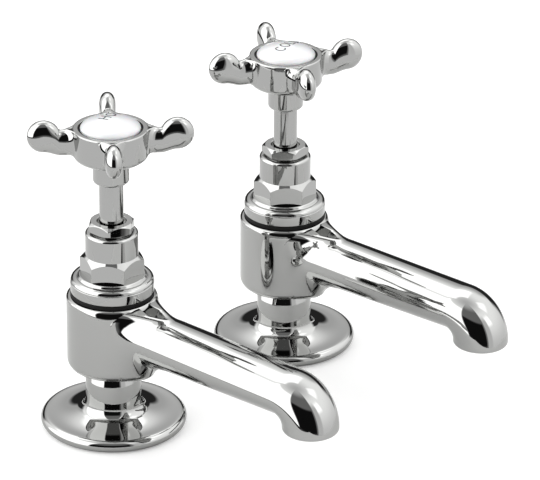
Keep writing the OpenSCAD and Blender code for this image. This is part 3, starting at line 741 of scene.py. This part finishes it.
def gland_shells(s, turn):
    """The gland nut: spigot, chamfered hexagon and the recess round the spindle."""
    outline = polygon_outline(6, s.gland_af, 0.3, turn)
    away = unit(outline)
    foot, top, half = s.gland_foot, s.gland_top, s.gland_af / 2
    bore_r, spigot_r = 4.17, 6.7
    spigot_foot, recess_z = foot - 2.9, top - 2.2

    def rings(*sizes):
        return [at_height(away * r, z)[None] for r, z in sizes]

    side_rows = nut_side(outline, foot, top, half - 0.15, drop=1.05, foot_r=half - 0.1, foot_rise=0.5)
    rows = rings((bore_r, spigot_foot), (spigot_r, spigot_foot), (spigot_r, foot)) + [side_rows] + rings(
        (s.mouth_r + 0.15, top), (s.mouth_r, top - 0.15), (s.mouth_r, recess_z), (bore_r, recess_z))
    return [tube(np.concatenate(rows))]


def spindle_shells(s, turn):
    """The spindle: jumper socket, lifting thread, plain stem and the square under the handle."""
    foot, socket_r, core_r, thread_r, square_af = 35.3, 2.55, 5.0, 5.6, 5.6
    socket_top = foot + 8.4
    thread_top = foot + 21.5
    lower = rounded([
        (socket_r, socket_top), (socket_r, foot, 0.2), (4.6, foot, 0.3), (core_r, foot + 0.6),
        (core_r, foot + 6)])
    thread = threaded(thread_r, foot + 6.2, thread_top, pitch=2.0, depth=0.9, rows_a_turn=12)
    stem_top = s.boss_foot + STEM_IN_BOSS
    upper = rounded([(core_r, foot + 21.6, 0.3), (core_r, foot + 21.8), (s.stem_r, foot + 22.0),
                     (s.stem_r, stem_top, 0.2), (0.01, stem_top)])
    bottom = np.concatenate([[[0.01, socket_top]], lower])
    shaft = capped(np.concatenate([turned(bottom), thread, turned(upper)]))
    outline = polygon_outline(4, square_af, 0.3, turn + math.pi / 4)
    square = capped(np.stack([at_height(outline * shrink, stem_top + z)
                              for z, shrink in ((-1, 1), (8.5, 1), (8.9, 0.88))]))
    return [shaft, square]


def arm_lines(s):
    """Functions of the distance u from the axis: an arm's top and bottom heights and half-thickness.

    The lobe is a circle of radius lobe_r about (lobe_u, lobe_z). Towards the hub its top runs into the
    neck's top by log(exp(k a) + exp(k b)) / k, a soft greater-of-two, and its bottom eases into the neck's.
    """
    lobe_u = s.span_r - s.lobe_r
    lobe_under_rim, swell_l = 2.6, 6
    lobe_z = s.rim_top - lobe_under_rim
    neck_u = lobe_u - swell_l
    neck_z = s.rim_top - s.neck_top - s.neck_h
    crisp = 5.0

    def ease(u):
        return (1 - np.cos(math.pi * np.clip((u - neck_u) / (lobe_u - neck_u), 0, 1))) / 2

    def circle(u):
        return np.sqrt(np.clip(s.lobe_r ** 2 - (u - lobe_u) ** 2, 0, None))

    def top(u):
        soft = np.logaddexp(crisp * (neck_z + s.neck_h - lobe_z), crisp * circle(u)) / crisp
        return lobe_z + np.where(u > lobe_u, circle(u), soft)

    def bottom(u):
        swell = mixed(neck_z - s.neck_h, lobe_z - s.lobe_r, ease(u))
        return np.where(u > lobe_u, lobe_z - circle(u), swell)

    def half_w(u):
        return mixed(s.neck_w, s.lobe_w, ease(u))

    return neck_u, lobe_u, top, bottom, half_w


def crosshead_shells(s, turn):
    """The crosshead: a turned hub with its boss and recesses, and four blended arms."""
    bowl_z = s.boss_foot + s.boss_h + s.bowl_h
    index_z = s.rim_top - s.recess
    bore_r, head_r, screw_r = 4.16, 4.5, 3.0
    screw_z = index_z - 2.8
    square_z = s.boss_foot + STEM_IN_BOSS
    bowl = arc((s.hub_r - s.bowl_w, bowl_z), s.bowl_w, -74, 0, 24, squash=s.bowl_h / s.bowl_w)
    outside = np.concatenate([
        rounded([(bore_r, s.boss_foot, 0.2), (s.boss_r, s.boss_foot, 1.2),
                 (s.boss_r, s.boss_foot + s.boss_h, 0.55), tuple(bowl[0])]),
        bowl[1:]])
    wall = rounded([tuple(bowl[-1]), (s.hub_r, s.rim_top, s.rim_edge), (s.ring_r + 0.04, s.rim_top, 0.15),
                    (s.ring_r + 0.04, index_z), (head_r, index_z), (head_r, screw_z), (screw_r, screw_z),
                    (screw_r, square_z), (bore_r, square_z), (bore_r, s.boss_foot + 0.2)])
    hub = tube(turned(np.concatenate([outside, wall[1:]])))

    t = round_angles(72)
    neck_u, lobe_u, top, bottom, half_w = arm_lines(s)
    middle_z = (top(neck_u) + bottom(neck_u)) / 2
    half_h = (top(neck_u) - bottom(neck_u)) / 2
    w = half_w(neck_u)
    # Sections are ovals with nearly flat sides, |y / w| ^ 2 + |z / h| ^ 3 = 1
    flat = np.sign(np.sin(t)) * np.abs(np.sin(t)) ** (2 / 3)
    section = np.stack([w * np.cos(t), middle_z + half_h * flat], axis=1)
    along = np.roll(section, -1, axis=0) - np.roll(section, 1, axis=0)
    normals = unit(np.stack([along[:, 1], -along[:, 0]], axis=1))
    web_under = 1.6
    radii = np.where(np.sin(t) >= 0, s.web, mixed(web_under, s.web, np.abs(np.cos(t)) ** 1.5))
    wall_z = np.linspace(bowl[-1, 1], s.rim_top + 6, 120)[1:]
    hub_line = np.concatenate([bowl, np.stack([np.full(119, s.hub_r), wall_z], axis=1)])
    blend, start = blend_rows(hub_line, section, normals, radii, (s.rim_top, s.boss_foot),
                              (s.rim_edge, s.rim_edge), 1.2, steps=14)

    def ring(u):
        # Past the lobe's middle the thickness follows from the distance to that middle: a rounded disc
        u = np.broadcast_to(u, t.shape)
        past = (np.clip(u - lobe_u, 0, None) / s.lobe_r) ** 2
        away = past + (1 - past) * flat ** 2
        thick = half_w(u) * np.sign(np.cos(t)) * np.sqrt(np.clip(1 - away ** 1.5, 0, 1))
        return np.stack([u, thick, (top(u) + bottom(u)) / 2 + (top(u) - bottom(u)) / 2 * flat], axis=1)

    rows = list(blend)
    rows += [ring(mixed(start, neck_u, a)) for a in (0.5, 1.0) if start.max() < neck_u]
    rows += [ring(u) for u in np.linspace(max(neck_u, start.max() + 0.2), lobe_u, 26)[1:]]
    rows += [ring(lobe_u + s.lobe_r * math.sin(b)) for b in np.linspace(0, math.pi / 2, 18)[1:-1]]
    rows += [ring(lobe_u + s.lobe_r * 0.9995)]
    arm = np.stack(rows)
    return [hub] + [capped(spun(arm, turn + k * math.pi / 2)) for k in range(4)]


def dome_sizes(s):
    """The dome's outer radius, the height of its edge and how far it rises, which leaves room for ink."""
    edge_z = s.rim_top - 0.1
    return s.index_r - 0.02, edge_z, s.index_top - 0.05 - edge_z


def index_shells(s):
    """The porcelain: a short edge and a dome that is half an ellipse."""
    edge_r, edge_z, rise = dome_sizes(s)
    profile = np.concatenate([
        [[0.0, s.rim_top - s.recess], [edge_r, s.rim_top - s.recess], [edge_r, edge_z - 0.1]],
        arc((0, edge_z), edge_r, 1, 90, 40, squash=rise / edge_r)])
    points = turned(profile)
    return [(points.reshape(-1, 3), grid_faces(len(points), points.shape[1]))]


# Capital letters as strokes that are arcs of an oval: its middle, half-width and half-height, first and
# last angle in degrees, all in units of the letter's height. A straight stroke is an arc of a flat oval
LETTERS = {
    "H": [(-0.3, 0, 0, 0.5, -90, 90), (0.3, 0, 0, 0.5, -90, 90), (0, 0.02, 0.3, 0, 0, 180)],
    "O": [(0, 0, 0.36, 0.45, 0, 360)],
    "T": [(0, 0, 0, 0.5, -90, 90), (0, 0.45, 0.3, 0, 0, 180)],
    "C": [(0.03, 0, 0.35, 0.45, 42, 318)],
    "L": [(-0.22, 0, 0, 0.5, -90, 90), (0.02, -0.45, 0.25, 0, 0, 180)],
    "D": [(-0.27, 0, 0, 0.5, -90, 90), (-0.27, 0, 0.58, 0.45, -90, 90)],
}
# For each word the angle from +X to its line, in degrees, and the middle of each letter in millimetres
WORDS = {
    "hot": (15, {"H": (0.0, 2.6), "O": (3.7, 3.4), "T": (6.8, 4.0)}),
    "cold": (17, {"C": (-2.7, 0.2), "O": (0.8, 1.2), "L": (3.9, 1.8), "D": (6.9, 2.4)}),
}


def word_shells(s, side):
    """The word on an index. Each stroke is a ribbon with square sides, laid on the dome: its height at
    distance r from the axis is edge_z + rise sqrt(1 - (r / edge_r)^2), a little more on the upper side."""
    edge_r, edge_z, rise = dome_sizes(s)
    turn, letters = WORDS[side]
    turn = math.radians(turn)
    half = 0.06 * s.word_h
    shells = []
    for letter, middle in letters.items():
        for order, (x, y, half_w, half_h, first, last) in enumerate(LETTERS[letter]):
            closed = last - first == 360
            share = np.linspace(0, 1, 60, endpoint=False) if closed else np.linspace(0, 1, 48)
            if not (half_w and half_h):
                # Even steps along a straight stroke
                share = np.arccos(np.linspace(1, -1, 24)) / math.pi
            a = np.radians(mixed(first, last, share))
            path = np.stack([x + half_w * np.cos(a), y + half_h * np.sin(a)], axis=1) * s.word_h
            along = np.stack([-half_w * np.sin(a), half_h * np.cos(a)], axis=1)
            if not (half_w and half_h):
                along = np.broadcast_to([float(half_w > 0), float(half_h > 0)], path.shape)
            aside = unit(np.stack([-along[:, 1], along[:, 0]], axis=1)) * half
            flat = np.stack([path + aside, path - aside, path - aside, path + aside], axis=1)
            flat = middle + spun(flat, turn)
            share = np.clip((flat ** 2).sum(axis=-1) / edge_r ** 2, 0, 1)
            proud = np.repeat([-0.12, 0.03 + 0.004 * order], 2)
            z = edge_z + rise * np.sqrt(1 - share) + proud
            points = np.concatenate([flat, z[..., None]], axis=-1)
            shells.append(tube(points) if closed else capped(points))
    return shells


def ring_shells(inner, outer, foot, top, edge=0.2):
    """A flat ring with rounded edges."""
    profile = rounded([(inner, (foot + top) / 2), (inner, foot, edge), (outer, foot, edge),
                       (outer, top, edge), (inner, top, edge), (inner, (foot + top) / 2 + 0.01)])
    return [tube(turned(profile))]


class PieceOperator(bpy.types.Operator):
    """Shared by the operators that make pieces for both taps"""

    bl_options = {"REGISTER", "UNDO"}

    def execute(self, context):
        """Makes the piece for each side in turn."""
        for side in SIDES:
            self.make(context.scene, side, getattr(context.scene, side + "_turns"))
        return {"FINISHED"}


class TAPS_OT_castings(PieceOperator):
    """Makes the cast bodies with their threaded tails and spouts"""

    bl_idname = "taps.castings"
    bl_label = "Castings"

    def make(self, scene, side, turns):
        """One casting."""
        put_piece(side, "casting", ["body"], casting_shells(in_mm(scene.tap_casting)), "chrome")


class TAPS_OT_flanges(PieceOperator):
    """Makes the base flanges"""

    bl_idname = "taps.flanges"
    bl_label = "Base flanges"

    def make(self, scene, side, turns):
        """One flange."""
        shells = flange_shells(in_mm(scene.tap_flange), in_mm(scene.tap_casting))
        put_piece(side, "flange", ["base_flange"], shells, "chrome")


class TAPS_OT_bonnets(PieceOperator):
    """Makes the bonnets, their seals and the gland nuts"""

    bl_idname = "taps.bonnets"
    bl_label = "Bonnets and gland nuts"

    def make(self, scene, side, turns):
        """One bonnet with its seal and gland nut."""
        s = in_mm(scene.tap_bonnet)
        put_piece(side, "bonnet_turned", ["bonnet"], bonnet_shells(s, turns.bonnet), "chrome", edge=0.12)
        put_piece(side, "gland_nut_turned", ["gland_nut"], gland_shells(s, turns.gland), "chrome", edge=0.1)
        seal_bore_r = 12.1
        seal = ring_shells(seal_bore_r, s.flange_r + 0.05, s.seal_foot, s.seal_top, edge=0.5)
        put_piece(side, "seal_ring", ["bonnet_seal"], seal, "black_rubber")


class TAPS_OT_handles(PieceOperator):
    """Makes the spindles, crossheads and indices"""

    bl_idname = "taps.handles"
    bl_label = "Handles"

    def make(self, scene, side, turns):
        """One handle."""
        s = in_mm(scene.tap_handle)
        body = side + "_handle"
        spindle = spindle_shells(s, turns.handle)
        put_piece(side, "spindle_turned", ["spindle"], spindle, "chrome", "turned_chrome", body)
        crosshead = crosshead_shells(s, turns.handle)
        put_piece(side, "crosshead_cast", ["crosshead"], crosshead, "chrome", body=body, sharp=40)
        put_piece(side, "index_dome", ["index"], index_shells(s), "porcelain", body=body)
        seal = ring_shells(s.index_r + 0.02, s.ring_r, s.rim_top - s.recess, s.rim_top - 0.35)
        put_piece(side, "index_seal", ["index_ring"], seal, "black_rubber", body=body)


class TAPS_OT_words(PieceOperator):
    """Makes the words on the indices"""

    bl_idname = "taps.words"
    bl_label = "Words on the indices"

    def make(self, scene, side, turns):
        """One word."""
        shells = word_shells(in_mm(scene.tap_handle), side)
        put_piece(side, "word", [], shells, "black_rubber", "ink", side + "_handle")


class TAPS_OT_plain_nodes(bpy.types.Operator):
    """Gives the pieces that stay as the frame has them their finishes"""

    bl_idname = "taps.plain_nodes"
    bl_label = "Finishes of the inner pieces"
    bl_options = {"REGISTER", "UNDO"}

    def execute(self, context):
        """Puts a finish into each node's material slots."""
        slots = {part["node"]: part["material_slot"] for part in frame["record"]["subparts"]}
        for name, node in frame["nodes"].items():
            node.data.materials.clear()
            node.data.materials.append(finish(slots[name]))
        return {"FINISHED"}


def studio_card_group():
    """A soft-edged window in the sky: 1 where the direction's azimuth and height lie in it, else 0."""
    tree, given, result = new_group(
        "studio_card", {"Direction": None, **dict.fromkeys(CARD_ANGLES, 0.0)}, ("Mask",))

    def window(value, middle, half, soft):
        away = calc(tree, "ABSOLUTE", calc(tree, "SUBTRACT", value, middle))
        limits = {"From Min": calc(tree, "ADD", half, soft), "From Max": calc(tree, "SUBTRACT", half, soft)}
        return put(tree, "MapRange", interpolation_type="SMOOTHSTEP", Value=away, **limits).outputs["Result"]

    turned_away = put(tree, "VectorRotate", rotation_type="Z_AXIS", Vector=given["Direction"],
                      Angle=calc(tree, "MULTIPLY", given["Azimuth"], -1.0))
    x, y, z = put(tree, "SeparateXYZ", turned_away.outputs["Vector"]).outputs
    side_angle = calc(tree, "ARCTAN2", x, calc(tree, "MULTIPLY", y, -1.0))
    mask = calc(tree, "MULTIPLY",
                window(side_angle, 0.0, given["Half Width"], given["Soft Sides"]),
                window(calc(tree, "ARCSINE", z), given["Height"], given["Half Height"], given["Soft Ends"]))
    tree.links.new(mask, result["Mask"])
    return tree


# The studio's surroundings are as bright as OPEN_LEVEL, apart from these soft-edged parts. Each has these
# angles, in degrees, and its brightness
CARD_ANGLES = ("Azimuth", "Height", "Half Width", "Half Height", "Soft Sides", "Soft Ends")
OPEN_LEVEL = 1.8
STUDIO_PARTS = [
    (0, -20, 200, 30, 5, 30, 1.1),
    (0, 90, 200, 20, 5, 20, 0.9),
    (150, 56, 38, 14, 4, 3, 2.7),
    (58, 57, 18, 9, 4, 4, 2.5),
    (12, 38, 14, 10, 4, 5, 2.6),
    (138, 8, 38, 26, 6, 12, 0.72),
    (133, 5, 42, 14.5, 8, 2.5, 0.03),
    (-124, 20, 40, 41, 2, 2.5, 2.7),
    (-8, 12, 11, 36, 4, 10, 0.95),
    (-50, 20, 34, 56, 2.5, 16, 0.26),
    (-52, 9, 31, 26, 1.2, 3.5, 0.01),
    (-140, -17.4, 60, 2.4, 5, 0.3, 0.02),
]
# Below this height, in degrees, the surroundings are as bright as the table
GROUND = -20.0
GROUND_LEVEL = 1.0
# Share of the surroundings' brightness that lights matt surfaces
DIFFUSE_SHARE = 0.74
# What the table gains for the camera, which sees it whiter than it is lit
TABLE_LIFT = 0.3


def build_world(scene):
    """White to the camera. All else sees a studio: bright all round, with dark and shaded parts."""
    world = bpy.data.worlds.new("studio")
    scene.world = world
    world.use_nodes = True
    tree = world.node_tree
    tree.nodes.clear()
    direction = put(tree, "TexCoord").outputs["Generated"]
    group = studio_card_group()
    value = OPEN_LEVEL
    for *angles, level in STUDIO_PARTS:
        card = put(tree, "Group", node_tree=group, Direction=direction,
                   **{name: math.radians(degrees) for name, degrees in zip(CARD_ANGLES, angles)})
        value = mix(tree, card.outputs["Mask"], value, level)
    height = put(tree, "SeparateXYZ", direction).outputs["Z"]
    value = mix(tree, calc(tree, "LESS_THAN", height, math.sin(math.radians(GROUND))), value, GROUND_LEVEL)
    rays = put(tree, "LightPath").outputs
    value = mix(tree, rays["Is Diffuse Ray"], value, calc(tree, "MULTIPLY", value, DIFFUSE_SHARE))
    value = mix(tree, rays["Is Camera Ray"], value, 1.0)
    background = put(tree, "Background", (1, 1, 1, 1), value)
    tree.links.new(background.outputs[0], put(tree, "OutputWorld").inputs["Surface"])


def build_floor():
    """A small pale table on the deck plane, and round it an apron that only the camera sees, which hides
    the tails from every side."""
    material = worn_finish("studio_table", (0.79, 0.79, 0.786), 20.0, (0.9, 1.0), Specular_IOR_Level=0.0)
    tree, shader = nodes_of(material)
    lift = calc(tree, "MULTIPLY", put(tree, "LightPath").outputs["Is Camera Ray"], TABLE_LIFT)
    shader.inputs["Emission Color"].default_value = (1, 1, 1, 1)
    tree.links.new(lift, shader.inputs["Emission Strength"])
    x, front, back, far, z = 0.155, -0.185, 0.11, 0.9, -0.02 * MM
    corners = [(-x, front, z), (x, front, z), (x, back, z), (-x, back, z),
               (-far, -far, z), (far, -far, z), (far, far, z), (-far, far, z)]
    pieces = {"floor": (corners[:4], [(0, 1, 2, 3)]),
              "floor_apron": (corners, [(4, 5, 1, 0), (5, 6, 2, 1), (6, 7, 3, 2), (7, 4, 0, 3)])}
    for name, (verts, faces) in pieces.items():
        piece = new_object(name, verts, faces, material)
        for ray in ("glossy", "diffuse", "transmission", "shadow"):
            setattr(piece, "visible_" + ray, name == "floor")


def build_camera(scene, settings):
    """A long lens at the photograph's angle. Its shift is the photograph's crop."""
    sin_a, cos_a = math.sin(settings.azimuth), math.cos(settings.azimuth)
    sin_e, cos_e = math.sin(settings.elevation), math.cos(settings.elevation)
    back = Vector((sin_a * cos_e, -cos_a * cos_e, sin_e))
    right = Vector((cos_a, sin_a, 0))
    up = back.cross(right)
    data = bpy.data.cameras.new("camera")
    camera = bpy.data.objects.new("camera", data)
    scene.collection.objects.link(camera)
    camera.matrix_world = Matrix.Translation(Vector(settings.target) + back * settings.distance) @ Matrix(
        (right, up, back)).transposed().to_4x4()
    data.lens = settings.lens
    data.sensor_width = 36
    photo_w = 540
    data.shift_x = 55 / photo_w
    data.shift_y = 1 / photo_w
    data.clip_end = 20
    scene.camera = camera


class TAPS_OT_studio(bpy.types.Operator):
    """Makes the camera, the table and the surroundings"""

    bl_idname = "taps.studio"
    bl_label = "Studio"
    bl_options = {"REGISTER", "UNDO"}

    def execute(self, context):
        """Builds the stage in one go."""
        scene = context.scene
        build_camera(scene, scene.tap_studio)
        build_floor()
        build_world(scene)
        scene.view_settings.view_transform = "Standard"
        return {"FINISHED"}


class TAPS_PT_panel(bpy.types.Panel):
    """Lists what makes the taps and their stage"""

    bl_idname = "TAPS_PT_panel"
    bl_label = "Basin Pillar Taps"
    bl_space_type = "VIEW_3D"
    bl_region_type = "UI"
    bl_category = "Taps"

    def draw(self, context):
        """One button for each operator."""
        for operator in OPERATORS:
            self.layout.operator(operator.bl_idname)


OPERATORS = (TAPS_OT_studio, TAPS_OT_plain_nodes, TAPS_OT_castings, TAPS_OT_flanges, TAPS_OT_bonnets,
             TAPS_OT_handles, TAPS_OT_words)
GROUPS = {"tap_casting": CastingSizes, "tap_flange": FlangeSizes, "tap_bonnet": BonnetSizes,
          "tap_handle": HandleSizes, "hot_turns": TurnSettings, "cold_turns": TurnSettings,
          "tap_finish": FinishSettings, "tap_studio": StudioSettings}


def register():
    """Registers the classes and hangs the settings on the scene."""
    for group in dict.fromkeys(GROUPS.values()):
        bpy.utils.register_class(group)
    for name, group in GROUPS.items():
        setattr(bpy.types.Scene, name, PointerProperty(type=group))
    for item in OPERATORS + (TAPS_PT_panel,):
        bpy.utils.register_class(item)


def unregister():
    """Takes the classes and settings away."""
    for item in (TAPS_PT_panel,) + OPERATORS[::-1]:
        bpy.utils.unregister_class(item)
    for name in GROUPS:
        delattr(bpy.types.Scene, name)
    for group in dict.fromkeys(GROUPS.values()):
        bpy.utils.unregister_class(group)


# Angles of the handles and hexagons as they stand in the photograph, in degrees
TURNS = {"hot": {"handle": 47, "bonnet": 6, "gland": 36}, "cold": {"handle": 60, "bonnet": 15, "gland": 7}}


def main():
    """Builds everything."""
    register()
    for side, turns in TURNS.items():
        for name, degrees in turns.items():
            setattr(getattr(bpy.context.scene, side + "_turns"), name, math.radians(degrees))
    for operator in OPERATORS:
        group, name = operator.bl_idname.split(".")
        getattr(getattr(bpy.ops, group), name)()


if __name__ == "__main__":
    main()
